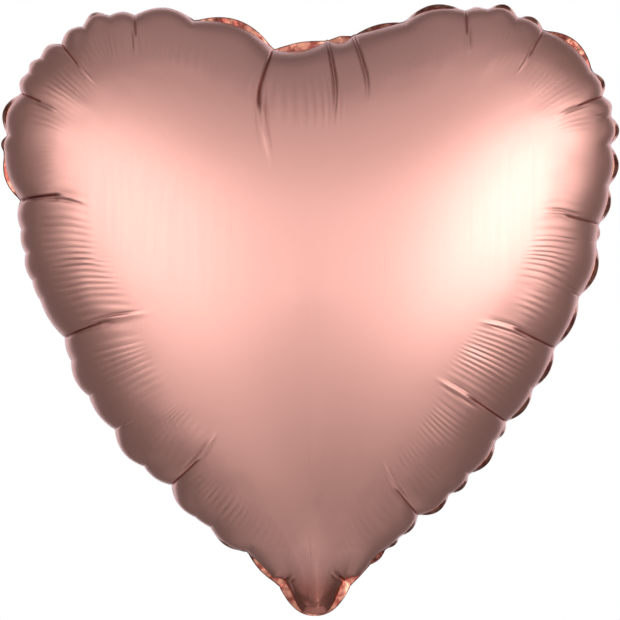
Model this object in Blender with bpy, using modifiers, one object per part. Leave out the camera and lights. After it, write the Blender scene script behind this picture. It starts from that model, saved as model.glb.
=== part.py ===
"""Heart-shaped foil balloon, modelled as the separate films and seals it is made of.

The front faces -Y and +Z is up. The origin is the crease at the heart's bottom
point, where the neck turns into the filling tail. All sizes are in metres.
"""

import math

import bmesh
import bpy
from mathutils import Vector

# ---- driving dimensions -------------------------------------------------------------
RIM_RIGHT = [              # outer edge of the rim from neck to cleft, as (x, z)
    (0.0285, 0.0250), (0.0400, 0.0345), (0.0610, 0.0530), (0.0830, 0.0720),
    (0.1170, 0.1110), (0.1455, 0.1500), (0.1670, 0.1890), (0.1815, 0.2300),
    (0.1905, 0.2720), (0.1920, 0.3130), (0.1750, 0.3570), (0.1430, 0.3815),
    (0.1060, 0.3890), (0.0620, 0.3820), (0.0200, 0.3700)]
CLEFT = (-0.0260, 0.3610)  # lowest point between the two lobes
RIM_LEFT = [               # the same edge from cleft to neck, down the left side
    (-0.0540, 0.3800), (-0.1000, 0.3885), (-0.1450, 0.3790), (-0.1800, 0.3550),
    (-0.2000, 0.3130), (-0.1970, 0.2700), (-0.1870, 0.2290), (-0.1725, 0.1890),
    (-0.1530, 0.1500), (-0.1280, 0.1110), (-0.0890, 0.0720), (-0.0660, 0.0530),
    (-0.0420, 0.0345), (-0.0295, 0.0250)]

RIM_WIDTH = 0.0060         # sealed flange round the heart
HALF_DEPTH = 0.0780        # how far each panel bulges out
BELLY = (-0.0030, 0.2150)  # where each panel bulges most, as (x, z)
BELLY_RADIUS = 0.1550      # the bulge's rings turn into circles of this radius
BULGE_POWER = 2.2          # roundness of the bulge seen in section
BULGE_ROOT = 0.60
TIP_FLAT = 0.0100          # the bulge starts above this height...
TIP_FULL = 0.0900          # ...and is full above this one
TIP_EASE = 1.5

FOIL = 0.0005              # wall of the foil panels
VALVE_FILM = 0.0003        # wall of the valve's films
GAP = 0.0003               # room between touching pieces
VALVE_INNER_FACE = GAP / 2
FOIL_INNER_FACE = VALVE_INNER_FACE + VALVE_FILM + GAP
SEAL_THICKNESS = 2 * (FOIL_INNER_FACE - GAP)

MOUTH_HALF_WIDTH = 0.0190  # half-width of the heart's point where the neck starts
MOUTH_Z = 0.0130
NECK_HALF_WIDTH = 0.0160
NECK_END_Z = 0.0005        # the neck's film ends just above the crease

TAIL_LENGTH = 0.0660
TAIL_START = 0.0050        # the tail's film starts this far from the crease
TAIL_FOLD = math.radians(145)   # from hanging straight to folded up behind
VALVE_HALF_WIDTH = 0.0095
VALVE_TOP_Z = 0.0620       # the valve ends inside the heart at this height
VALVE_TAIL_END = 0.0560    # the valve's lower end, measured down the tail
CORNER = 0.0020            # rounding of the strips' corners

RIM_COLUMNS = 72           # columns round the rim, without the mouth
MOUTH_COLUMNS = 4          # columns across the mouth
RING_SCALES = (0.97, 0.92, 0.85, 0.76, 0.65, 0.51, 0.35, 0.17)


# ---- materials ----------------------------------------------------------------------
def make_material(name, colour, roughness, metallic, alpha=1.0):
    """A Principled BSDF in one colour."""
    material = bpy.data.materials.new(name)
    material.use_nodes = True
    shader = material.node_tree.nodes["Principled BSDF"]
    shader.inputs["Base Color"].default_value = (*colour, 1.0)
    shader.inputs["Roughness"].default_value = roughness
    shader.inputs["Metallic"].default_value = metallic
    shader.inputs["Alpha"].default_value = alpha
    material.diffuse_color = (*colour, alpha)
    return material


SATIN = {"colour": (0.80, 0.50, 0.43), "roughness": 0.38, "metallic": 1.0}
COPPER = {"colour": (0.72, 0.33, 0.24), "roughness": 0.12, "metallic": 1.0}
CLEAR_FILM = {"colour": (0.86, 0.87, 0.88), "roughness": 0.25, "metallic": 0.0, "alpha": 0.5}
SEAL_FILM = {"colour": (0.62, 0.30, 0.22), "roughness": 0.20, "metallic": 0.6}


# ---- helpers ------------------------------------------------------------------------
def clear_scene():
    """Start from nothing."""
    for thing in list(bpy.data.objects):
        bpy.data.objects.remove(thing, do_unlink=True)


def make_collection(name):
    """A collection of the scene."""
    collection = bpy.data.collections.new(name)
    bpy.context.scene.collection.children.link(collection)
    return collection


def add_object(name, bm, collection, finish):
    """Turn a bmesh into a named object with a material of its own."""
    mesh = bpy.data.meshes.new(name)
    bm.to_mesh(mesh)
    bm.free()
    thing = bpy.data.objects.new(name, mesh)
    collection.objects.link(thing)
    mesh.materials.append(make_material(name, **finish))
    return thing


def add_solidify(thing, thickness, offset):
    """Give an open surface its wall: offset 1 grows it along the normals."""
    wall = thing.modifiers.new("wall", "SOLIDIFY")
    wall.thickness = thickness
    wall.offset = offset
    wall.use_even_offset = True


def tip_fullness(height):
    """The share of its full depth that the bulge has at a height above the crease."""
    t = min(max((height - TIP_FLAT) / (TIP_FULL - TIP_FLAT), 0.0), 1.0)
    return 1 - (1 - t) ** TIP_EASE


def spline(points, steps=12):
    """A smooth open curve through the points (Catmull-Rom)."""
    ends = [2 * points[0] - points[1], *points, 2 * points[-1] - points[-2]]
    curve = []
    for a, b, c, d in zip(ends, ends[1:], ends[2:], ends[3:]):
        for step in range(steps):
            t = step / steps
            curve.append(0.5 * (2 * b + (c - a) * t + (2 * a - 5 * b + 4 * c - d) * t ** 2
                                + (3 * b - a - 3 * c + d) * t ** 3))
    curve.append(points[-1].copy())
    return curve


def resample(curve, count):
    """count + 1 points at even distances along a curve."""
    lengths = [0.0]
    for a, b in zip(curve, curve[1:]):
        lengths.append(lengths[-1] + (b - a).length)
    points = []
    index = 0
    for step in range(count + 1):
        target = lengths[-1] * step / count
        while index < len(curve) - 2 and lengths[index + 1] < target:
            index += 1
        span = lengths[index + 1] - lengths[index]
        points.append(curve[index].lerp(curve[index + 1], (target - lengths[index]) / span))
    return points


# ---- the heart's outline ------------------------------------------------------------
def rim_edge():
    """The rim's outer edge, anticlockwise from the mouth's right end to its left end."""
    right = [Vector((MOUTH_HALF_WIDTH, MOUTH_Z)), *map(Vector, RIM_RIGHT), Vector(CLEFT)]
    left = [Vector(CLEFT), *map(Vector, RIM_LEFT), Vector((-MOUTH_HALF_WIDTH, MOUTH_Z))]
    half = RIM_COLUMNS // 2
    return resample(spline(right), half) + resample(spline(left), half)[1:]


def inner_edge(edge):
    """The edge moved inwards by the rim's width; its ends meet the neck's inner corners."""
    inner = []
    for index, point in enumerate(edge):
        before = edge[max(index - 1, 0)]
        after = edge[min(index + 1, len(edge) - 1)]
        along = (after - before).normalized()
        inner.append(point + RIM_WIDTH * Vector((-along.y, along.x)))
    corner = NECK_HALF_WIDTH - RIM_WIDTH
    inner[0] = Vector((corner, MOUTH_Z + RIM_WIDTH))
    inner[-1] = Vector((-corner, MOUTH_Z + RIM_WIDTH))
    return inner


def across_mouth(start, end):
    """The points between the two ends of the mouth, which close the outline."""
    return [start.lerp(end, step / MOUTH_COLUMNS) for step in range(1, MOUTH_COLUMNS)]


def bulge_rings(seam):
    """Rings from the seam to the belly, as lists of (x, z, depth)."""
    belly = Vector(BELLY)
    rings = [[(point.x, point.y, 0.0) for point in seam]]
    for scale in RING_SCALES:
        ring = []
        for point in seam:
            arm = point - belly
            round_arm = arm.normalized() * BELLY_RADIUS
            place = belly + scale * round_arm.lerp(arm, scale ** 2)
            depth = HALF_DEPTH * (1 - scale ** BULGE_POWER) ** BULGE_ROOT
            ring.append((place.x, place.y, depth * tip_fullness(place.y)))
        rings.append(ring)
    return rings


# ---- the root body: what makes the heart ---------------------------------------------
def make_panel(name, side, collection):
    """One foil panel with its half of the rim and neck; side is -1 in front, 1 behind."""
    edge = rim_edge()
    seam = inner_edge(edge)
    outline = edge + across_mouth(edge[-1], edge[0])
    seam = seam + across_mouth(seam[-1], seam[0])
    rings = [[(point.x, point.y, 0.0) for point in outline]] + bulge_rings(seam)

    bm = bmesh.new()
    grid = [[bm.verts.new((x, side * (FOIL_INNER_FACE + depth), z)) for x, z, depth in ring]
            for ring in rings]
    count = len(outline)
    for outer, inner in zip(grid, grid[1:]):
        for column in range(count):
            after = (column + 1) % count
            bm.faces.new((outer[column], outer[after], inner[after], inner[column]))
    middle = bm.verts.new((BELLY[0], side * (FOIL_INNER_FACE + HALF_DEPTH), BELLY[1]))
    for column in range(count):
        bm.faces.new((grid[-1][column], grid[-1][(column + 1) % count], middle))

    mouth = grid[0][RIM_COLUMNS:] + grid[0][:1]
    neck_end = []
    for step, corner in enumerate(mouth):
        x = NECK_HALF_WIDTH * (2 * step / MOUTH_COLUMNS - 1)
        neck_end.append(bm.verts.new((x, corner.co.y, NECK_END_Z)))
    for step in range(MOUTH_COLUMNS):
        bm.faces.new((mouth[step + 1], mouth[step], neck_end[step], neck_end[step + 1]))

    bmesh.ops.recalc_face_normals(bm, faces=bm.faces)
    if middle.link_faces[0].normal.y * side < 0:
        bmesh.ops.reverse_faces(bm, faces=bm.faces)
    for face in bm.faces:
        face.smooth = True
    panel = add_object(name, bm, collection, SATIN)
    add_solidify(panel, FOIL, 1.0)
    return panel


def make_rim_seal(collection):
    """The fused band between the two panels, open where the neck lets the gas in."""
    outer = rim_edge()
    inner = inner_edge(outer)
    neck_inner = NECK_HALF_WIDTH - RIM_WIDTH
    outer = [Vector((NECK_HALF_WIDTH, NECK_END_Z)), *outer, Vector((-NECK_HALF_WIDTH, NECK_END_Z))]
    inner = [Vector((neck_inner, NECK_END_Z)), *inner, Vector((-neck_inner, NECK_END_Z))]
    bm = bmesh.new()
    rows = [(bm.verts.new((a.x, 0.0, a.y)), bm.verts.new((b.x, 0.0, b.y)))
            for a, b in zip(outer, inner)]
    for (a, b), (c, d) in zip(rows, rows[1:]):
        bm.faces.new((a, c, d, b))
    seal = add_object("rim_heat_seal", bm, collection, SEAL_FILM)
    add_solidify(seal, SEAL_THICKNESS, 0.0)
    return seal


def make_strip(name, x, y, z, thickness, collection, finish):
    """A flat strip with rounded corners: x and z are (low, high), y its inner face.

    The wall grows away from y = 0, or both ways where y is 0.
    """
    bm = bmesh.new()
    corners = [(x[0], z[0]), (x[1], z[0]), (x[1], z[1]), (x[0], z[1])]
    face = bm.faces.new([bm.verts.new((cx, y, cz)) for cx, cz in corners])
    if y > 0:
        face.normal_flip()
    strip = add_object(name, bm, collection, finish)
    corner = strip.modifiers.new("corners", "BEVEL")
    corner.affect = "VERTICES"
    corner.width = CORNER
    corner.segments = 3
    add_solidify(strip, thickness, 1.0 if y else 0.0)
    return strip


def make_heart(collection):
    """The two panels, the seal round them and the inner part of the valve."""
    make_panel("front_foil_panel", -1, collection)
    make_panel("back_foil_panel", 1, collection)
    make_rim_seal(collection)
    for name, side in (("valve_front_film", -1), ("valve_back_film", 1)):
        make_strip(name, (-VALVE_HALF_WIDTH, VALVE_HALF_WIDTH), side * VALVE_INNER_FACE,
                   (NECK_END_Z, VALVE_TOP_Z), VALVE_FILM, collection, CLEAR_FILM)


# ---- the tail body: it turns about the crease ----------------------------------------
def make_tail(collection):
    """The filling tail, built hanging straight down and then folded up behind the heart."""
    hinge = bpy.data.objects.new("tail_crease", None)
    hinge.empty_display_size = NECK_HALF_WIDTH
    collection.objects.link(hinge)

    full = (-NECK_HALF_WIDTH, NECK_HALF_WIDTH)
    inner = NECK_HALF_WIDTH - RIM_WIDTH
    narrow = (-VALVE_HALF_WIDTH, VALVE_HALF_WIDTH)
    foil_run = (-TAIL_START - TAIL_LENGTH, -TAIL_START)
    valve_run = (-TAIL_START - VALVE_TAIL_END, -TAIL_START)
    pieces = [
        make_strip("tail_front_foil", full, -FOIL_INNER_FACE, foil_run, FOIL, collection, COPPER),
        make_strip("tail_back_foil", full, FOIL_INNER_FACE, foil_run, FOIL, collection, COPPER),
        make_strip("tail_left_seal", (-NECK_HALF_WIDTH, -inner), 0.0, foil_run,
                   SEAL_THICKNESS, collection, SEAL_FILM),
        make_strip("tail_right_seal", (inner, NECK_HALF_WIDTH), 0.0, foil_run,
                   SEAL_THICKNESS, collection, SEAL_FILM),
        make_strip("tail_valve_front_film", narrow, -VALVE_INNER_FACE, valve_run,
                   VALVE_FILM, collection, CLEAR_FILM),
        make_strip("tail_valve_back_film", narrow, VALVE_INNER_FACE, valve_run,
                   VALVE_FILM, collection, CLEAR_FILM)]
    for piece in pieces:
        piece.parent = hinge
    hinge.rotation_euler.x = TAIL_FOLD


def main():
    """Build the balloon."""
    clear_scene()
    collection = make_collection("heart_foil_balloon")
    make_heart(collection)
    make_tail(collection)


main()
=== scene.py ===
import math

import bpy
import numpy as np
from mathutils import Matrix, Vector, noise


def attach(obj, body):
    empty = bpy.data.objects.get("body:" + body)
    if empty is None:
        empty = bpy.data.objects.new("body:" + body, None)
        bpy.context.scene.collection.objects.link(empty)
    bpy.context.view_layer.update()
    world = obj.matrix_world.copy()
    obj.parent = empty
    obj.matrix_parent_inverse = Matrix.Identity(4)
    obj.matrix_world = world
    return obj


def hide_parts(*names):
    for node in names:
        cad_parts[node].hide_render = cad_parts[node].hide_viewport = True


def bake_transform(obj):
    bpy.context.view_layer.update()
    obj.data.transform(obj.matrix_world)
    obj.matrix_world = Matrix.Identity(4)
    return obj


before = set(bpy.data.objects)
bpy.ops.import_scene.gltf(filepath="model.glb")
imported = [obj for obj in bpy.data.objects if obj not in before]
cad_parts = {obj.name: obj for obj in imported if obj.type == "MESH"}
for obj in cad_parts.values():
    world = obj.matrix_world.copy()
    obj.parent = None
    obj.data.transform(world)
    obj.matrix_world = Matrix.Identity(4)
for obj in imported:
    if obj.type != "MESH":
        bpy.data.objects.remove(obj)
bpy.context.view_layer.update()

MM = 0.001

# ---- the heart ----------------------------------------------------------------------
MIDDLE = (-0.0039, 0.2075)     # the point that the rim's angles are measured about, as (x, z)
HALF_DEPTH = 0.0755
# The gathers round the rim, anticlockwise from the right: the angle in degrees, the
# distance from the middle, how far the rim bows out before the next gather, how far the
# gather's groove reaches inwards, and how much of the flange shows in front before the
# next gather, in mm.
GATHERS = [
    (9.3, 186, 1.8, 5, 2.0), (12.8, 190, 4.3, 12, 3.0), (19.2, 203, 5.8, 6, 3.5),
    (25.8, 214, 5.4, 8, 3.0), (30.1, 223, 3.5, 6, 1.5), (33.5, 225, 4.6, 12, 3.0),
    (37.7, 229, 8.0, 8, 4.0), (48.0, 224, 4.5, 12, 3.0), (52.6, 220, 5.7, 7, 3.0),
    (57.6, 213, 2.2, 5, 1.5), (60.8, 205, 7.4, 12, 3.5), (70.6, 182, 2.7, 7, 3.0),
    (80.3, 165.5, 0.9, 8, 4.4), (86.0, 160.5, 1.2, 8, 5.4), (98.7, 156, 9.7, 18, 3.8),
    (113.4, 188, 7.3, 7, 1.0), (122.6, 209, 2.9, 10, 1.0), (126.2, 218, 5.7, 6, 2.0),
    (130.8, 223, 4.4, 6, 1.0), (135.3, 224, 4.3, 12, 1.5), (139.3, 228, 3.1, 6, 1.5),
    (142.3, 228, 3.6, 6, 1.5), (145.7, 224, 7.5, 10, 3.5), (152.9, 218, 3.0, 5, 2.0),
    (155.8, 215, 5.0, 5, 2.5), (162.8, 194, 2.6, 14, 0.5), (168.1, 189, 2.0, 5, 0.4),
    (172.6, 183.5, 2.6, 5, 0.4), (178.0, 178, 1.1, 5, 0.3), (182.0, 173, 2.3, 5, 0.3),
    (191.0, 160, 1.4, 14, 0.3), (196.5, 159.5, 3.6, 5, 0.3), (205.6, 157, 2.9, 5, 0.3),
    (215.6, 153.5, 5.3, 8, 0.4), (226.7, 155, 2.8, 5, 0.4), (234.7, 153, 4.2, 14, 0.4),
    (243.1, 163, 0.9, 5, 0.6), (247.3, 165, 4.7, 8, 1.5), (256.5, 172.5, 2.3, 7, 3.0),
    (264.2, 190.5, 19.8, 6, 1.0), (277.7, 191, 1.0, 6, 1.0), (281.9, 181, 1.7, 5, 3.0),
    (286.4, 173, 2.0, 5, 2.0), (289.9, 168.5, 3.1, 5, 2.0), (295.6, 160, 5.2, 13, 3.0),
    (304.4, 158.5, 3.6, 5, 2.5), (310.8, 156, 5.1, 7, 3.2), (320.9, 153.5, 2.4, 5, 2.0),
    (326.1, 151.5, 4.5, 14, 3.0), (336.2, 156.5, 4.2, 6, 3.0), (346.6, 161, 4.7, 14, 2.8),
    (358.6, 172.5, 6.4, 7, 3.2)]
# Flange that lies flat and faces the front instead of leaning back, by its gather's angle.
FACING = {
    37.7: 0.8, 70.6: 0.5, 80.3: 0.8, 86.0: 0.95, 98.7: 0.9, 152.9: 0.5, 155.8: 0.8, 256.5: 0.7,
    264.2: 0.9, 277.7: 0.9, 281.9: 0.6}
TIP_GATHER = 264.2             # the arc round the heart's bottom point starts here
TIP_FULLNESS = 2.5             # 2 is a parabola, more is boxier
NOSE_HALF_WIDTH = 11 * MM      # the film is pinched to a narrow ridge just above the crease
NOSE_SPREAD = 0.30             # it gets wider upwards at this rate
NOSE_DEPTH = 3.5 * MM          # how far the ridge stands out at the crease
NOSE_LEAN = 0.50               # and it stands out further upwards at this rate
NOSE_MIDDLE = 1 * MM           # the ridge lies this far to the right
NOSE_SHARPNESS = 0.11          # the ridge's rounding, as a share of the half width
NOSE_RISE = 3 * MM             # the ridge starts at the seam and is full this far inside it
NOSE_END = 42 * MM             # where it has become the heart's own round shape
NOSE_FADE = 1.2                # how soon it turns into that shape
NOSE_SHARE = 0.95              # how much of the shape at the crease is the ridge
NOSE_SHADE = 0.38              # how much painted shade darkens the ridge's folded sides
NOSE_SHADE_RATE = 1.4          # how soon the painted shade starts beside the ridge
NECK_FLANGE = 4.8 * MM         # the flange that shows beside the neck
SEAM_INSET = 0.85              # the seam lies inside the outline by this share of what shows
BACK_FLAT = 0.3                # the share of its depth that the back has behind the folded tail
BACK_FULL = 80 * MM            # the back has its full depth above this height
# The tucks that run inwards from a gather: the gather's angle, the length in mm, the depth
# from 0 to 1, the side that the ridge lies on, and how far the inner end swerves, in mm.
TUCKS = [
    (12.8, 38, 0.7, 1, 0), (33.5, 31, 0.8, -1, 0), (48.0, 33, 0.6, 1, 0), (60.8, 27, 0.6, -1, 0),
    (98.7, 70, 1.0, -1, -1), (122.6, 26, 0.5, 1, 0), (135.3, 33, 0.7, -1, 0), (145.7, 27, 0.8, 1, 0),
    (162.8, 46, 1.0, 1, 4), (191.0, 54, 0.9, -1, 4), (215.6, 16, 0.3, 1, 0), (234.7, 44, 0.8, -1, 0),
    (264.2, 9, 0.6, 1, 0), (277.7, 12, 0.9, -1, 0), (295.6, 40, 0.7, 1, 0), (326.1, 50, 1.0, -1, -2),
    (346.6, 48, 1.0, -1, -2), (30.1, 10, 0.3, 1, 0), (358.6, 12, 0.3, 1, 0)]
# Tucks with two slits side by side: the angle, the length, the depth and the swerve.
PLEATS = [(80.3, 48, 0.9, 1), (86.0, 56, 1.0, 5), (162.8, 44, 0.6, 7), (191.0, 50, 0.35, 8)]
# Patches of fine ripples inside the rim: the middle's angle and the half-width in degrees,
# then the height, the pitch, where they start and end inside the rim, in mm, and their slant.
RIPPLES = [
    (171, 9, 0.13, 5.6, 10, 50, -0.1), (184, 8, 0.13, 5.6, 10, 58, -0.28),
    (204, 10, 0.10, 5.8, 14, 50, -0.1), (226, 8, 0.10, 4.8, 20, 50, 0), (245, 9, 0.10, 4.6, 10, 34, 0),
    (139, 9, 0.06, 5.0, 12, 30, 0), (92, 6.6, 0.26, 4.0, 14, 62, 0), (110, 8, 0.04, 5.0, 14, 40, 0),
    (6, 9, 0.10, 5.0, 12, 46, 0),
    (336.5, 9, 0.18, 4.1, 10, 60, 0.05), (353, 6, 0.08, 4.6, 16, 38, 0), (316, 7, 0.12, 4.4, 18, 50, 0),
    (302, 6, 0.08, 4.4, 20, 44, 0)]

BAND = 56 * MM                 # width of the finely meshed band inside the rim
BAND_ROWS = 38
INNER_ROWS = 14
COLUMN_STEP = 0.79 * MM        # mean distance between columns round the rim
COLUMN_CROWDING = 0.55         # how much closer they stand at the gathers
COLUMN_TURN = 0.45             # the share of the band where they turn towards the middle
ROOM_AT_TIP = 4 * MM           # the band is this narrow at the heart's bottom point,
ROOM_GROWTH = 0.6              # and gets wider away from it at this rate
SLIT_DEPTH = 1.9 * MM          # how deep the film is folded in at a tuck
TUCK_RIDGE = 0.55 * MM         # how high the ridge beside it stands,
TUCK_RIDGE_GAP = 1.2 * MM      # how far it is from the slit,
TUCK_RIDGE_WIDTH = 1.0 * MM    # and its half-width
PLEAT_GAP = 0.95 * MM          # half of the distance between a pleat's two slits
SMOOTHING = 10 * MM            # the base outline is the rim smoothed over this distance

# ---- the filling tail ---------------------------------------------------------------
TAIL_RISE = math.radians(35)   # the folded tail leans back from upright by this much
TAIL_START = -5 * MM           # its films start inside the heart, and run past the crease at 0
TAIL_END = 71 * MM
TAIL_WAY = np.array([0, math.sin(TAIL_RISE), math.cos(TAIL_RISE)])
TAIL_HALF_WIDTH = 16 * MM
SEAL_WIDTH = 6 * MM
VALVE_HALF_WIDTH = 9.5 * MM
VALVE_TOP = 62 * MM            # the valve's upper end inside the heart
VALVE_END = 61 * MM            # and its other end, along the tail


def window(values, low, rise, high, fall):
    """1 between low + rise and high, falling smoothly to 0 at low and at high + fall."""
    up = np.clip((values - low) / rise, 0, 1)
    down = np.clip((high + fall - values) / fall, 0, 1)
    return up * up * (3 - 2 * up) * down * down * (3 - 2 * down)


def soft_noise(along, inset, scale, seed):
    """Smooth noise between about -1 and 1 over two distances."""
    places = zip(along.ravel(), inset.ravel())
    values = [noise.noise(Vector((a / scale, b / scale, seed))) for a, b in places]
    return np.array(values).reshape(along.shape)


def arc_points(start, end, bow, fullness):
    """Points from start up to end along an arc that bows out to the right of the way."""
    chord = np.linalg.norm(end - start)
    steps = max(8, int((chord + 2.6 * bow ** 2 / chord) / COLUMN_STEP))
    even = np.arange(steps) / steps
    t = even - COLUMN_CROWDING * np.sin(2 * math.pi * even) / (2 * math.pi)
    along = end - start
    out = np.array([along[1], -along[0]]) / chord
    bulge = bow * (1 - np.abs(2 * t - 1) ** fullness)
    return start + t[:, None] * along + bulge[:, None] * out, t


class Rim:
    """The seam line: its points, and the flange, gather and angle at each of them."""

    def __init__(self):
        cusps = [self.place(angle, radius * MM) for angle, radius, *_ in GATHERS]
        outline, shown, facing, gather, share = [], [], [], [], []
        for index, (start, row) in enumerate(zip(cusps, GATHERS)):
            fullness = TIP_FULLNESS if row[0] == TIP_GATHER else 2
            arc, t = arc_points(start, cusps[(index + 1) % len(cusps)], row[2] * MM, fullness)
            outline.append(arc)
            shown.append(row[4] * MM * 4 * t * (1 - t))
            facing.append(np.full(len(t), FACING.get(row[0], 0.0)))
            gather.append(np.full(len(t), index))
            share.append(t)
        self.gather = np.concatenate(gather)
        self.share = np.concatenate(share)
        self.count = len(self.share)
        outline = np.concatenate(outline)
        self.measure(outline)
        tip_index = [row[0] for row in GATHERS].index(TIP_GATHER)
        tip = 0.5 * (self.cusp_along[tip_index] + self.cusp_along[tip_index + 1])
        self.from_tip = np.abs(self.gap(self.along, tip))
        neck = NECK_FLANGE * window(self.from_tip, 1 * MM, 24 * MM, 33 * MM, 9 * MM)
        self.shown = np.maximum(np.concatenate(shown), neck)
        self.facing = self.smoothed(np.concatenate(facing), 3 * MM)
        inward = self.smoothed(self.normals(outline), 4 * MM)
        self.seam = outline + SEAM_INSET * self.shown[:, None] * inward
        self.measure(self.seam)
        self.base = self.smoothed(self.seam, SMOOTHING)
        self.inward = self.smoothed(self.normals(self.base), 0.5 * SMOOTHING)
        self.inward /= np.linalg.norm(self.inward, axis=1)[:, None]
        self.offset = -np.einsum("ij,ij->i", self.seam - self.base, self.inward)
        self.base = self.seam + self.offset[:, None] * self.inward
        beside, above = self.seam[:, 0] - MIDDLE[0], self.seam[:, 1] - MIDDLE[1]
        self.angle = np.degrees(np.arctan2(above, beside)) % 360

    @staticmethod
    def place(angle, radius):
        """A point in the seam plane by its angle and distance from the middle."""
        angle = math.radians(angle)
        return np.array([MIDDLE[0] + radius * math.cos(angle), MIDDLE[1] + radius * math.sin(angle)])

    def measure(self, line):
        """Distances along a closed line of points."""
        step = np.linalg.norm(np.roll(line, -1, 0) - line, axis=1)
        self.along = np.concatenate([[0], np.cumsum(step)[:-1]])
        self.length = step.sum()
        self.cusp_along = np.array([self.along[self.gather == i][0] for i in range(len(GATHERS))])

    def smoothed(self, values, width):
        """Values round the rim, averaged over a distance with a bell-shaped weight."""
        even = np.arange(0, self.length, 0.5 * MM)
        lap = self.length
        along = np.concatenate([self.along - lap, self.along, self.along + lap])
        reach = np.arange(-60, 61)
        bell = np.exp(-0.5 * (reach * 0.5 * MM / width) ** 2)
        bell /= bell.sum()
        result = []
        for column in np.atleast_2d(values.T):
            sampled = np.interp(even, along, np.tile(column, 3))
            padded = np.concatenate([sampled[-60:], sampled, sampled[:60]])
            soft = np.convolve(padded, bell, "valid")
            result.append(np.interp(self.along, even, soft, period=lap))
        return np.array(result).T if values.ndim > 1 else result[0]

    @staticmethod
    def normals(curve):
        """Unit normals of a closed anticlockwise curve, pointing inwards."""
        tangent = np.roll(curve, -1, 0) - np.roll(curve, 1, 0)
        inward = np.stack([-tangent[:, 1], tangent[:, 0]], 1)
        return inward / np.linalg.norm(inward, axis=1)[:, None]

    def gap(self, a, b):
        """Signed distance along the rim from b to a, the short way round."""
        return (a - b + 0.5 * self.length) % self.length - 0.5 * self.length

    def sway(self):
        """How far the seam line strays to the back or front."""
        lap = 2 * math.pi * self.along / self.length
        return (1.6 * MM * np.sin(9 * lap + 1) + 0.6 * MM * np.sin(31 * lap)) * window(
            self.from_tip, 10 * MM, 40 * MM, 2, 1)


def flat_grid(rim):
    """The panel's grid in the seam plane: rows from the rim to the middle, and each row's inset.

    A column leaves the rim at right angles, and from the turn on it bends towards the middle.
    """
    room = ROOM_AT_TIP + ROOM_GROWTH * rim.from_tip
    band = (room ** -4 + BAND ** -4) ** -0.25
    middle = np.array(MIDDLE)
    corner = rim.base + band[:, None] * rim.inward
    turn = COLUMN_TURN * band
    turn_place = rim.base + turn[:, None] * rim.inward
    first = band - turn
    second = np.linalg.norm(middle - corner, axis=1)
    insets = [band * (row / BAND_ROWS) ** 2 for row in range(BAND_ROWS + 1)]
    start = (insets[-1] - insets[-2]) * (INNER_ROWS + 1) / second
    for row in range(1, INNER_ROWS + 1):
        share = row / (INNER_ROWS + 1)
        insets.append(band + (start * share + (1 - start) * share ** 2) * second)
    rows = []
    for inset in insets:
        past = np.maximum(inset - turn, 0)
        along = ((np.sqrt(first ** 2 + (second - first) * past) - first) / (second - first))[:, None]
        bent = (1 - along) ** 2 * turn_place + 2 * along * (1 - along) * corner + along ** 2 * middle
        straight = rim.base + inset[:, None] * rim.inward
        rows.append(np.where(inset[:, None] < turn[:, None], straight, bent))
    return np.array(rows), np.array(insets)


def cotangent(corner, a, b):
    """Cotangent of the angle at corner between a and b, for arrays of 2D points."""
    u, v = a - corner, b - corner
    cross = np.abs(u[..., 0] * v[..., 1] - u[..., 1] * v[..., 0])
    return np.einsum("...i,...i", u, v) / np.maximum(cross, 1e-12)


def area(a, b, c):
    """Area of the triangles between arrays of 2D points."""
    u, v = b - a, c - a
    return 0.5 * np.abs(u[..., 0] * v[..., 1] - u[..., 1] * v[..., 0])


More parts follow.
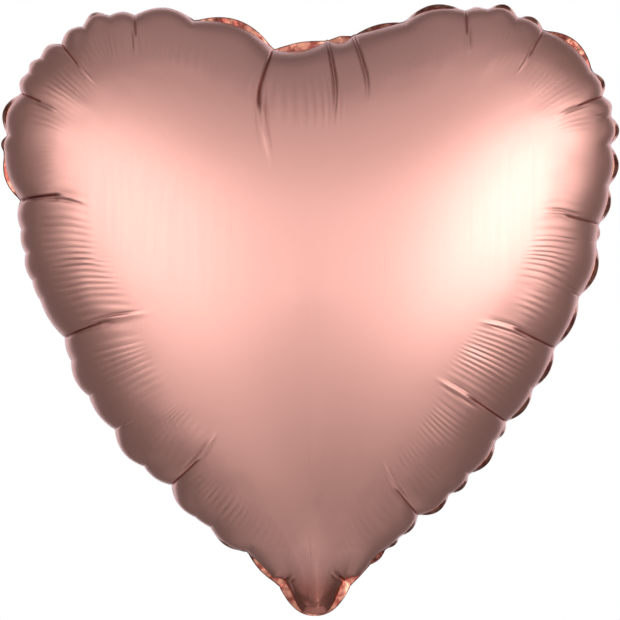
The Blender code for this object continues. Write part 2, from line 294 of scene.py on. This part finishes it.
def membrane(grid):
    """How high a soap film over the outline stands under even pressure, from 0 to 1.

    Finite elements on the grid's triangles, solved by conjugate gradients.
    """
    rows, columns, _ = grid.shape
    right = np.roll(grid, -1, 1)
    top, top_right, below, corner = grid[:-1], right[:-1], grid[1:], right[1:]
    across = np.zeros((rows, columns))
    across[:-1] += 0.5 * cotangent(corner, top, top_right)
    across[1:] += 0.5 * cotangent(top, below, corner)
    down = 0.5 * cotangent(corner, top, below)
    down += 0.5 * np.roll(cotangent(top, top_right, corner), 1, 1)
    slant = 0.5 * (cotangent(top_right, top, corner) + cotangent(below, top, corner))

    first, second = area(top, top_right, corner), area(top, corner, below)
    load = np.zeros((rows, columns))
    load[:-1] += first + second + np.roll(first, 1, 1)
    load[1:] += second + np.roll(first + second, 1, 1)
    load /= 3
    middle = np.broadcast_to(np.array(MIDDLE), (columns, 2))
    fan = area(grid[-1], right[-1], middle)
    load[-1] += (fan + np.roll(fan, 1)) / 3
    across[-1] += 0.5 * cotangent(middle, grid[-1], right[-1])
    before = np.roll(cotangent(grid[-1], right[-1], middle), 1)
    spokes = 0.5 * (cotangent(right[-1], grid[-1], middle) + before)

    def spread(values):
        """The stiffness matrix times the values; the last one is the middle's."""
        field, centre = values[:-1].reshape(rows, columns), values[-1]
        out = across * (field - np.roll(field, -1, 1))
        out = out - np.roll(out, 1, 1)
        fall = down * (field[:-1] - field[1:])
        out[:-1] += fall
        out[1:] -= fall
        fall = slant * (field[:-1] - np.roll(field[1:], -1, 1))
        out[:-1] += fall
        out[1:] -= np.roll(fall, 1, 1)
        fall = spokes * (field[-1] - centre)
        out[-1] += fall
        out[0] = field[0]
        return np.append(out.ravel(), -fall.sum())

    weight = across + np.roll(across, 1, 1)
    weight[:-1] += down + slant
    weight[1:] += down + np.roll(slant, 1, 1)
    weight[-1] += spokes
    weight[0] = 1
    load[0] = 0
    diagonal = np.append(weight.ravel(), spokes.sum())
    residual = np.append(load.ravel(), fan.sum() / 3)

    values = np.zeros_like(residual)
    ready = residual / diagonal
    way = ready.copy()
    size = residual @ ready
    goal = size * 1e-12
    for _ in range(4000):
        pushed = spread(way)
        step = size / (way @ pushed)
        values += step * way
        residual -= step * pushed
        ready = residual / diagonal
        after = residual @ ready
        if after < goal:
            break
        way = ready + after / size * way
        size = after
    values = np.maximum(values, 0) / values.max()
    return values[:-1].reshape(rows, columns), values[-1]


def slit(gap, width):
    """A valley with a sharp bottom, 1 deep at its middle."""
    return -np.exp(-np.abs(gap) / width)


def tuck(gap, inset, length, side):
    """A slit from the rim, then a ridge to one side of it with a finer slit on either side."""
    way = inset / length
    middle = gap - side * TUCK_RIDGE_GAP
    ridge = np.exp(-(middle / TUCK_RIDGE_WIDTH) ** 2)
    slits = (slit(gap, 0.5 * MM) * window(way, 0, 0.04, 0.56, 0.1)
             + 0.5 * slit(middle - side * 1.3 * MM, 0.45 * MM) * window(way, 0.3, 0.3, 0.8, 0.25)
             + 0.2 * slit(middle + side * 3.0 * MM, 0.6 * MM) * window(way, 0.4, 0.3, 0.7, 0.4))
    return slits, TUCK_RIDGE * ridge * window(way, 0.45, 0.2, 0.85, 0.3)


def pleat(gap, inset, length):
    """Two slits side by side that fade out together."""
    pair = slit(gap - PLEAT_GAP, 0.42 * MM) + slit(gap + PLEAT_GAP, 0.42 * MM)
    return 0.8 * pair * window(inset / length, 0, 0.04, 0.4, 0.6)


def scallops(rim, inset):
    """How far the film reaches beyond the smooth outline at the bows between gathers."""
    reaches = np.array([row[3] for row in GATHERS]) * MM
    after = (rim.gather + 1) % len(GATHERS)
    ease = rim.share ** 2 * (3 - 2 * rim.share)
    reach = reaches[rim.gather] * (1 - ease) + reaches[after] * ease
    return rim.offset * np.clip(1 - inset / (1.3 * reach), 0, 1) ** 1.6


def relief(rim, inset, seed):
    """How far the film stands proud of the smooth bulge, and where it is folded in, as a mask for painted
    shade.

    The seed picks the film's own unevenness.
    """
    along = np.broadcast_to(rim.along, inset.shape)
    angles = [row[0] for row in GATHERS]
    raised = np.zeros(inset.shape)

    def fold_at(angle, length, swerve):
        """Distances sideways from a fold's line, and where the film is near enough to feel it."""
        gap = rim.gap(along, rim.cusp_along[angles.index(angle)])
        gap = gap - swerve * MM * (inset / (length * MM)) ** 1.5
        near = (np.abs(gap) < 12 * MM) & (inset < 1.5 * length * MM)
        return gap[near], near

    slits = np.zeros(inset.shape)
    for angle, length, depth, side, swerve in TUCKS:
        gap, near = fold_at(angle, length, swerve)
        cut, ridge = tuck(gap, inset[near], length * MM, side)
        slits[near] += depth * cut
        raised[near] += depth * ridge
    for angle, length, depth, swerve in PLEATS:
        gap, near = fold_at(angle, length, swerve)
        slits[near] += depth * pleat(gap, inset[near], length * MM)
    raised += SLIT_DEPTH * slits

    fade = np.clip((1 - inset / inset[BAND_ROWS]) / 0.2, 0, 1)
    wander = soft_noise(along, 0.2 * inset, 30 * MM, seed + 0.5)
    uneven = 1 + 0.5 * soft_noise(along, 0.4 * inset, 9 * MM, seed + 7.5)
    for angle, half_width, height, pitch, start, end, slant in RIPPLES:
        turn = (rim.angle - angle + 180) % 360 - 180
        phase = 2 * math.pi * (along + slant * inset) / (pitch * MM) + 1.6 * wander
        wave = np.sin(phase) + 0.3 * np.sin(2 * phase + 0.8)
        where = np.exp(-(turn / half_width) ** 4)
        reach = window(inset, start * MM, 9 * MM, (end - 12) * MM, 14 * MM)
        raised += fade * height * MM * where * uneven * wave * reach
    phase = 2 * math.pi * along / (5.2 * MM) + 4 * wander
    reach = window(inset, 9 * MM, 9 * MM, 26 * MM, 20 * MM)
    raised += fade * 0.03 * MM * uneven * np.sin(phase) * reach
    dents = soft_noise(along, inset, 18 * MM, seed + 3.5)
    raised += fade * 0.30 * MM * dents * window(inset, 0, 6 * MM, 30 * MM, 30 * MM)
    return raised, np.clip(-slits, 0, 1)


def grid_mesh(name, grid, middle=None, closed=True):
    """A mesh on a grid, which may close round its columns and have a fan to the middle."""
    rows, columns, _ = grid.shape
    points = grid.reshape(-1, 3)
    index = np.arange(rows * columns).reshape(rows, columns)
    right = np.roll(index, -1, 1)
    used = slice(None) if closed else slice(0, columns - 1)
    faces = np.stack([index[:-1, used], right[:-1, used], right[1:, used], index[1:, used]], -1)
    faces = faces.reshape(-1, 4).tolist()
    if middle is not None:
        points = np.vstack([points, middle])
        faces += [[a, b, len(points) - 1] for a, b in zip(index[-1].tolist(), right[-1].tolist())]
    mesh = bpy.data.meshes.new(name)
    mesh.from_pydata(points.tolist(), [], faces)
    mesh.shade_smooth()
    thing = bpy.data.objects.new(name, mesh)
    bpy.context.scene.collection.objects.link(thing)
    return thing


def add_wall(thing, thickness):
    """Gives a film its thickness."""
    wall = thing.modifiers.new("wall", "SOLIDIFY")
    wall.thickness = thickness
    wall.offset = 0


def make_panel(name, side, rim, flat, insets, film, seed):
    """One foil panel; side is -1 in front and 1 behind."""
    height, peak = film
    depth = HALF_DEPTH * np.sqrt(height)
    height_up = flat[..., 1]
    if side > 0:
        depth = depth * (BACK_FLAT + (1 - BACK_FLAT) * window(height_up, 0, BACK_FULL, 1, 1))
    else:
        aside = np.abs(flat[..., 0] - NOSE_MIDDLE) / (NOSE_HALF_WIDTH + NOSE_SPREAD * height_up)
        sharp = NOSE_SHARPNESS
        ridge = 1 - (np.sqrt(aside ** 2 + sharp ** 2) - sharp) / (math.sqrt(1 + sharp ** 2) - sharp)
        rise = np.sqrt(np.clip(insets / NOSE_RISE, 0, 1))
        ridge = (NOSE_DEPTH + NOSE_LEAN * height_up) * np.clip(ridge, 0, 1) * rise
        pinched = np.clip(1 - height_up / NOSE_END, 0, 1) ** NOSE_FADE
        depth = depth * (1 - NOSE_SHARE * pinched) + NOSE_SHARE * pinched * ridge
    base = np.stack([flat[..., 0], side * depth, flat[..., 1]], -1)
    down = np.gradient(base, axis=0)
    across = np.roll(base, -1, 1) - np.roll(base, 1, 1)
    normal = -side * np.cross(across, down)
    normal /= np.linalg.norm(normal, axis=-1)[..., None]
    outward = np.stack([-rim.inward[:, 0], np.zeros(rim.count), -rim.inward[:, 1]], -1)
    normal[0] = outward
    raised, painted_fold_shade = relief(rim, insets, seed)
    # Painted shade: the front's nose ridge has its sides darkened in the film's colour.
    if side < 0:
        painted_fold_shade += NOSE_SHADE * pinched * np.clip(aside * NOSE_SHADE_RATE, 0, 1)
    # The bows reach out along the film's normal, but flat in the seam plane at the nose.
    level = window(rim.from_tip, -1, 0.5, 26 * MM, 20 * MM)[:, None]
    bows = scallops(rim, insets)[..., None]
    surface = base + raised[..., None] * normal + bows * ((1 - level) * normal + level * outward)
    surface[..., 1] += rim.sway() * np.exp(-insets / (14 * MM))
    middle = (MIDDLE[0], side * HALF_DEPTH * math.sqrt(peak), MIDDLE[1])
    if side > 0:
        surface, painted_fold_shade = surface[:, ::-1], painted_fold_shade[:, ::-1]
    panel = grid_mesh(name, surface, middle)
    # The mask is stored on the mesh, and the satin film's colour is darkened by it as painted shade.
    shade = panel.data.attributes.new("painted_fold_shade", "FLOAT", "POINT")
    shade.data.foreach_set("value", np.append(painted_fold_shade.ravel(), 0))
    return panel


def make_flange(rim):
    """The sealed rim outside the seam: it leans back at the gathers, and shows in between."""
    rows = 8
    bottom = window(rim.from_tip, -1 * MM, 9 * MM, 2, 1)
    width = SEAL_WIDTH * (0.25 + 0.75 * bottom)
    shown = np.clip(rim.shown, 0.8 * MM, 0.95 * width)
    lean = np.arccos(shown / width) * (1 - rim.facing)
    reach = width * np.cos(lean)
    out = -rim.smoothed(rim.normals(rim.seam), 3 * MM)
    out /= np.linalg.norm(out, axis=1)[:, None]
    layers = []
    for row in range(rows):
        share = row / (rows - 1)
        inset = np.full(rim.count, share * 4 * MM)
        crinkle = 0.45 * MM * share * soft_noise(rim.along, inset, 5 * MM, 11.5)
        place = rim.seam + (shown - (1 - share) * reach)[:, None] * out
        y = rim.sway() + width * np.sin(lean) * share + crinkle
        layers.append(np.stack([place[:, 0], y, place[:, 1]], -1))
    flange = grid_mesh("rim_flange", np.array(layers)[:, ::-1])
    add_wall(flange, 0.2 * MM)
    return flange


# ---- tail and valve -----------------------------------------------------------------
def tail_line(run):
    """The folded tail's middle line at distances from the crease, and its rear-facing normal.

    It starts inside the heart's bottom point, turns round the crease and leans back.
    """
    turn_end = 4 * MM
    start, bend, end = np.array([[0, -0.9 * MM, 4 * MM], -1.6 * MM * TAIL_WAY, turn_end * TAIL_WAY])
    t = np.clip((run - TAIL_START) / (turn_end - TAIL_START), 0, 1)[:, None]
    line = (1 - t) ** 2 * start + 2 * t * (1 - t) * bend + t ** 2 * end
    line += np.maximum(run - turn_end, 0)[:, None] * TAIL_WAY
    curl = 2.5 * MM * (np.maximum(run, 0) / TAIL_END) ** 3
    way = np.gradient(line, axis=0)
    way /= np.linalg.norm(way, axis=1)[:, None]
    rear = np.stack([np.zeros(len(run)), way[:, 2], -way[:, 1]], 1)
    return line + curl[:, None] * rear, rear


def upright_line(run):
    """The valve's middle line inside the heart, and its rear-facing normal."""
    line = np.stack([np.zeros(len(run)), np.zeros(len(run)), run], 1)
    return line, np.tile([0.0, 1.0, 0.0], (len(run), 1))


def make_strip(name, line, span, run, offset, bulge, crimp, thickness):
    """A film strip along a line; span is its edges across and run its ends along the line.

    The film lies at the offset from the line where it is sealed, and bulges between the seals.
    """
    run = np.arange(run[0], run[1] + 0.2 * MM, 0.5 * MM)
    middle, rear = line(run)
    across = np.linspace(span[0], span[1], max(9, int((span[1] - span[0]) / (1.0 * MM)) + 1))
    free = np.clip(1 - (across / (TAIL_HALF_WIDTH - SEAL_WIDTH)) ** 2, 0, 1)
    sealed = np.clip((np.abs(across) - TAIL_HALF_WIDTH + SEAL_WIDTH) / MM, 0, 1)
    narrow = np.clip((5 * MM + 0.85 * np.maximum(run, 0)) / TAIL_HALF_WIDTH, 0, 1)
    parted = window(run, -2 * MM, 14 * MM, 1, 1)
    xs, along = np.meshgrid(across, run)
    wave = 0.5 * MM * soft_noise(xs, along, 16 * MM, 5.5)
    wave = wave + 0.25 * MM * soft_noise(xs, along, 6 * MM, 9.5)
    raised = offset * (0.25 + 0.75 * parted)[:, None] + (wave + bulge * free) * parted[:, None]
    raised += crimp * sealed * np.sin(2 * math.pi * along / (1.6 * MM)) * parted[:, None]
    grid = middle[:, None, :] + raised[..., None] * rear[:, None, :]
    grid[..., 0] += across * narrow[:, None]
    strip = grid_mesh(name, grid, closed=False)
    add_wall(strip, thickness)
    return strip


# ---- materials ----------------------------------------------------------------------
class Nodes:
    """A small helper to build a material's node tree."""

    def __init__(self, name):
        self.material = bpy.data.materials.new(name)
        self.material.use_nodes = True
        self.tree = self.material.node_tree
        self.shader = self.tree.nodes["Principled BSDF"]
        self.place = self.add("ShaderNodeTexCoord").outputs["Object"]

    def add(self, kind, inputs=None, **settings):
        node = self.tree.nodes.new(kind)
        for key, value in settings.items():
            setattr(node, key, value)
        for key, value in (inputs or {}).items():
            self.set(node, key, value)
        return node

    def set(self, node, key, value):
        socket = node.inputs[key]
        if isinstance(value, bpy.types.NodeSocket):
            self.tree.links.new(value, socket)
        else:
            socket.default_value = value

    def noise(self, scale, detail=2, stretch=(1, 1, 1)):
        space = self.add("ShaderNodeMapping", {"Vector": self.place, "Scale": stretch}).outputs[0]
        inputs = {"Vector": space, "Scale": scale, "Detail": detail}
        return self.add("ShaderNodeTexNoise", inputs).outputs["Fac"]

    def mix(self, factor, a, b):
        kind = "RGBA" if isinstance(b, tuple) else "FLOAT"
        inputs = {"Factor": factor, "A": a, "B": b}
        return self.add("ShaderNodeMix", inputs, data_type=kind).outputs["Result"]

    def span(self, value, low, high, **limits):
        inputs = {"Value": value, "To Min": low, "To Max": high}
        inputs.update({key.replace("_", " ").title(): limit for key, limit in limits.items()})
        return self.add("ShaderNodeMapRange", inputs, interpolation_type="SMOOTHSTEP").outputs[0]

    def bump(self, height, strength, distance):
        inputs = {"Height": height, "Strength": strength, "Distance": distance}
        return self.add("ShaderNodeBump", inputs).outputs[0]

    def finish(self, **inputs):
        for key, value in inputs.items():
            self.set(self.shader, key.replace("_", " "), value)
        return self.material


def satin_foil():
    """Rose-gold satin film: faint streaks along its length, bare copper at the neck, and painted shade in
    its folds.
    """
    n = Nodes("satin_foil")
    streaks = n.noise(620, 2, (1, 1, 0.01))
    grain = n.noise(2200, 1)
    satin = n.mix(n.noise(9), (0.89, 0.460, 0.400, 1), (0.93, 0.485, 0.420, 1))
    height = n.add("ShaderNodeSeparateXYZ", {"Vector": n.place}).outputs["Z"]
    bare = n.span(height, 1, 0, from_min=0.012, from_max=0.034)
    # Painted shade: the film's colour turns a deep red-brown in the slits of its folds and on the nose's
    # sides.
    painted_fold_shade = n.add("ShaderNodeAttribute", attribute_name="painted_fold_shade").outputs["Fac"]
    film = n.mix(bare, satin, (0.72, 0.28, 0.22, 1))
    colour = n.mix(painted_fold_shade, film, (0.20, 0.03, 0.022, 1))
    rough = n.mix(bare, n.span(streaks, 0.385, 0.415, from_min=0.3, from_max=0.7), 0.24)
    both = n.add("ShaderNodeMath", {0: streaks, 1: grain}, operation="ADD").outputs[0]
    return n.finish(Base_Color=colour, Roughness=rough, Metallic=1.0, Normal=n.bump(both, 0.05, 0.0002))


def copper_foil():
    """Unprinted copper film, bright as a mirror, with fine crinkles and painted shade and glints along
    them.
    """
    n = Nodes("copper_foil")
    crinkle = n.noise(190, 4)
    # Painted shade and glints: the colour goes from dark red-brown to bright copper with the crinkles, as
    # if they caught the light.
    light = n.span(crinkle, 0, 1, from_min=0.35, from_max=0.65)
    tint = n.mix(light, (0.40, 0.095, 0.075, 1), (0.80, 0.34, 0.24, 1))
    rough = n.span(crinkle, 0.10, 0.22)
    return n.finish(Base_Color=tint, Roughness=rough, Metallic=1.0, Normal=n.bump(crinkle, 0.4, 0.0008))


def heat_seal():
    """The same copper film where it is welded: the jaws leave a fine diamond pattern."""
    n = Nodes("heat_seal")
    lines = []
    for turn in (0.785, -0.785):
        space = n.add("ShaderNodeMapping", {"Vector": n.place, "Rotation": (0, turn, 0)}).outputs[0]
        lines.append(n.add("ShaderNodeTexWave", {"Vector": space, "Scale": 260}).outputs["Fac"])
    weave = n.add("ShaderNodeMath", {0: lines[0], 1: lines[1]}, operation="MULTIPLY").outputs[0]
    crinkle = n.noise(150, 3)
    both = n.add("ShaderNodeMath", {0: weave, 1: crinkle}, operation="ADD").outputs[0]
    tint = n.mix(crinkle, (0.62, 0.23, 0.16, 1), (0.84, 0.39, 0.28, 1))
    return n.finish(Base_Color=tint, Roughness=n.span(weave, 0.14, 0.26), Metallic=1.0,
                    Normal=n.bump(both, 0.35, 0.0005))


def valve_film():
    """Thin milky plastic film with a slight ripple."""
    n = Nodes("valve_film")
    cloud = n.noise(60, 3)
    tint = n.mix(cloud, (0.80, 0.81, 0.83, 1), (0.90, 0.90, 0.91, 1))
    return n.finish(Base_Color=tint, Roughness=n.span(cloud, 0.2, 0.34), Alpha=0.55, IOR=1.5,
                    Normal=n.bump(cloud, 0.3, 0.0006))


# ---- stage --------------------------------------------------------------------------
VIEW_WIDTH = 0.3982            # what the camera sees at the balloon, in metres
CAMERA_DISTANCE = 4.0
VIEW_CENTRE = (-0.00385, 0.1946)    # as (x, z)
ROOM = 0.14                    # the room's own brightness in reflections
# Softboxes round the heart: azimuth (0 at the camera, positive to the right), elevation,
# width and height in metres, brightness and colour.
WHITE, COOL = (1, 1, 1), (0.86, 0.90, 1.0)
SOFTBOXES = {
    "key": (41, 5, 1.55, 1.65, 2.9, WHITE),
    "key_side": (71, 6, 0.8, 1.65, 0.95, WHITE),
    "fill": (-35, 5, 2.1, 1.75, 1.85, WHITE),
    "fill_side": (-72, 6, 0.8, 1.65, 0.12, WHITE),
    "front": (8, 2, 1.1, 1.6, 0.88, WHITE),
    "top_front": (15, 42, 3.8, 1.1, 0.5, WHITE),
    "top": (0, 82, 2.4, 2.4, 0.2, COOL),
    "low_left": (-32, -30, 1.6, 1.15, 0.6, WHITE),
    "low_middle": (2, -22, 0.8, 0.5, 0.38, WHITE),
    "low_right": (34, -28, 1.5, 1.15, 0.36, WHITE),
    "nose": (2, -62, 0.14, 0.5, 2.0, WHITE),
    "backdrop": (180, 8, 4.4, 2.4, 1.0, COOL)}
SOFTBOX_DISTANCE = 2.3
SOFTBOX_AIM = Vector((0, 0, 0.2))
FLOOR = -2.4


def make_camera():
    """Straight on, through a long lens."""
    data = bpy.data.cameras.new("camera")
    data.sensor_width = 36
    data.lens = data.sensor_width * CAMERA_DISTANCE / VIEW_WIDTH
    data.clip_end = 50
    camera = bpy.data.objects.new("camera", data)
    camera.location = (VIEW_CENTRE[0], -CAMERA_DISTANCE, VIEW_CENTRE[1])
    camera.rotation_euler = (math.radians(90), 0, 0)
    bpy.context.scene.collection.objects.link(camera)
    bpy.context.scene.camera = camera


def make_softbox(name, azimuth, elevation, width, height, brightness, colour=WHITE):
    """A rectangular light aimed at the heart."""
    data = bpy.data.lights.new(name, "AREA")
    data.shape = "RECTANGLE"
    data.size, data.size_y = width, height
    data.energy = math.pi * width * height * brightness
    data.color = colour
    light = bpy.data.objects.new(name, data)
    turn, rise = math.radians(azimuth), math.radians(elevation)
    way = Vector((math.sin(turn) * math.cos(rise), -math.cos(turn) * math.cos(rise), math.sin(rise)))
    light.location = SOFTBOX_AIM + SOFTBOX_DISTANCE * way
    light.rotation_euler = way.to_track_quat("Z", "Y").to_euler()
    light.visible_camera = False
    bpy.context.scene.collection.objects.link(light)


def make_room():
    """A white studio seen directly, and a dim one in reflections."""
    world = bpy.data.worlds.new("studio")
    world.use_nodes = True
    tree = world.node_tree
    seen = tree.nodes.new("ShaderNodeBackground")
    seen.inputs["Color"].default_value = (1, 1, 1, 1)
    room = tree.nodes["Background"]
    room.inputs["Color"].default_value = (1, 0.98, 0.97, 1)
    room.inputs["Strength"].default_value = ROOM
    mix = tree.nodes.new("ShaderNodeMixShader")
    tree.links.new(tree.nodes.new("ShaderNodeLightPath").outputs["Is Camera Ray"], mix.inputs[0])
    tree.links.new(room.outputs[0], mix.inputs[1])
    tree.links.new(seen.outputs[0], mix.inputs[2])
    tree.links.new(mix.outputs[0], tree.nodes["World Output"].inputs["Surface"])
    bpy.context.scene.world = world
    bpy.context.scene.view_settings.view_transform = "Standard"


def make_floor():
    """A pale floor well below the balloon."""
    bpy.ops.mesh.primitive_circle_add(vertices=96, radius=2.0, fill_type="NGON", location=(0, 0, FLOOR))
    floor = bpy.context.object
    floor.name = "floor"
    n = Nodes("pale_floor")
    tint = n.mix(n.noise(3), (0.84, 0.84, 0.84, 1), (0.87, 0.87, 0.87, 1))
    floor.data.materials.append(n.finish(Base_Color=tint, Roughness=0.8))


# ---- build --------------------------------------------------------------------------
def place_piece(piece, node, material, body="heart"):
    """Gives a piece its finish, hides the CAD part that it stands for, and hangs it on the body that it
    rides on, if any.
    """
    piece.data.materials.append(material)
    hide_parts(node)
    if body:
        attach(piece, body)


def main():
    make_camera()
    make_room()
    make_floor()
    for name, row in SOFTBOXES.items():
        make_softbox(name, *row)
    satin, copper, seal, clear = satin_foil(), copper_foil(), heat_seal(), valve_film()

    rim = Rim()
    flat, insets = flat_grid(rim)
    film = membrane(flat)
    for name, side, node, seed in (
            ("front_panel_film", -1, "front_foil_panel", 3),
            ("back_panel_film", 1, "back_foil_panel", 8)):
        panel = make_panel(name, side, rim, flat, insets, film, seed)
        place_piece(panel, node, satin)
    place_piece(make_flange(rim), "rim_heat_seal", copper)

    full, valve = TAIL_HALF_WIDTH, VALVE_HALF_WIDTH
    for name, side, node in (
            ("valve_front_strip", -1, "valve_front_film"),
            ("valve_back_strip", 1, "valve_back_film")):
        strip = make_strip(name, upright_line, (-valve, valve), (0.8 * MM, VALVE_TOP), side * 0.25 * MM,
                           side * 0.3 * MM, 0, 0.1 * MM)
        place_piece(strip, node, clear)

    for name, span, end, offset, bulge, thickness, slot, material in (
            ("tail_front_film", (-full, full), TAIL_END, 0.55, 1.3, 0.15, "copper_foil", copper),
            ("tail_back_film", (-full, full), TAIL_END, -0.55, -1.3, 0.15, "copper_foil", copper),
            ("tail_left_seam", (-full, SEAL_WIDTH - full), TAIL_END, 0.0, 0, 0.5, "heat_seal", seal),
            ("tail_right_seam", (full - SEAL_WIDTH, full), TAIL_END, 0.0, 0, 0.5, "heat_seal", seal),
            ("tail_valve_front_strip", (-valve, valve), VALVE_END, 0.25, 0.3, 0.1, "valve_film", clear),
            ("tail_valve_back_strip", (-valve, valve), VALVE_END, -0.25, -0.3, 0.1, "valve_film", clear)):
        strip = make_strip(name, tail_line, span, (TAIL_START, end), offset * MM, bulge * MM, 0.1 * MM,
                           thickness * MM)
        # A piece is called film, seam or strip where its node is called foil, seal or film.
        node = name.replace("film", "foil") if slot == "copper_foil" else name
        node = node.replace("seam", "seal").replace("strip", "film")
        place_piece(strip, node, material, body=None)
        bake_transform(strip)


main()
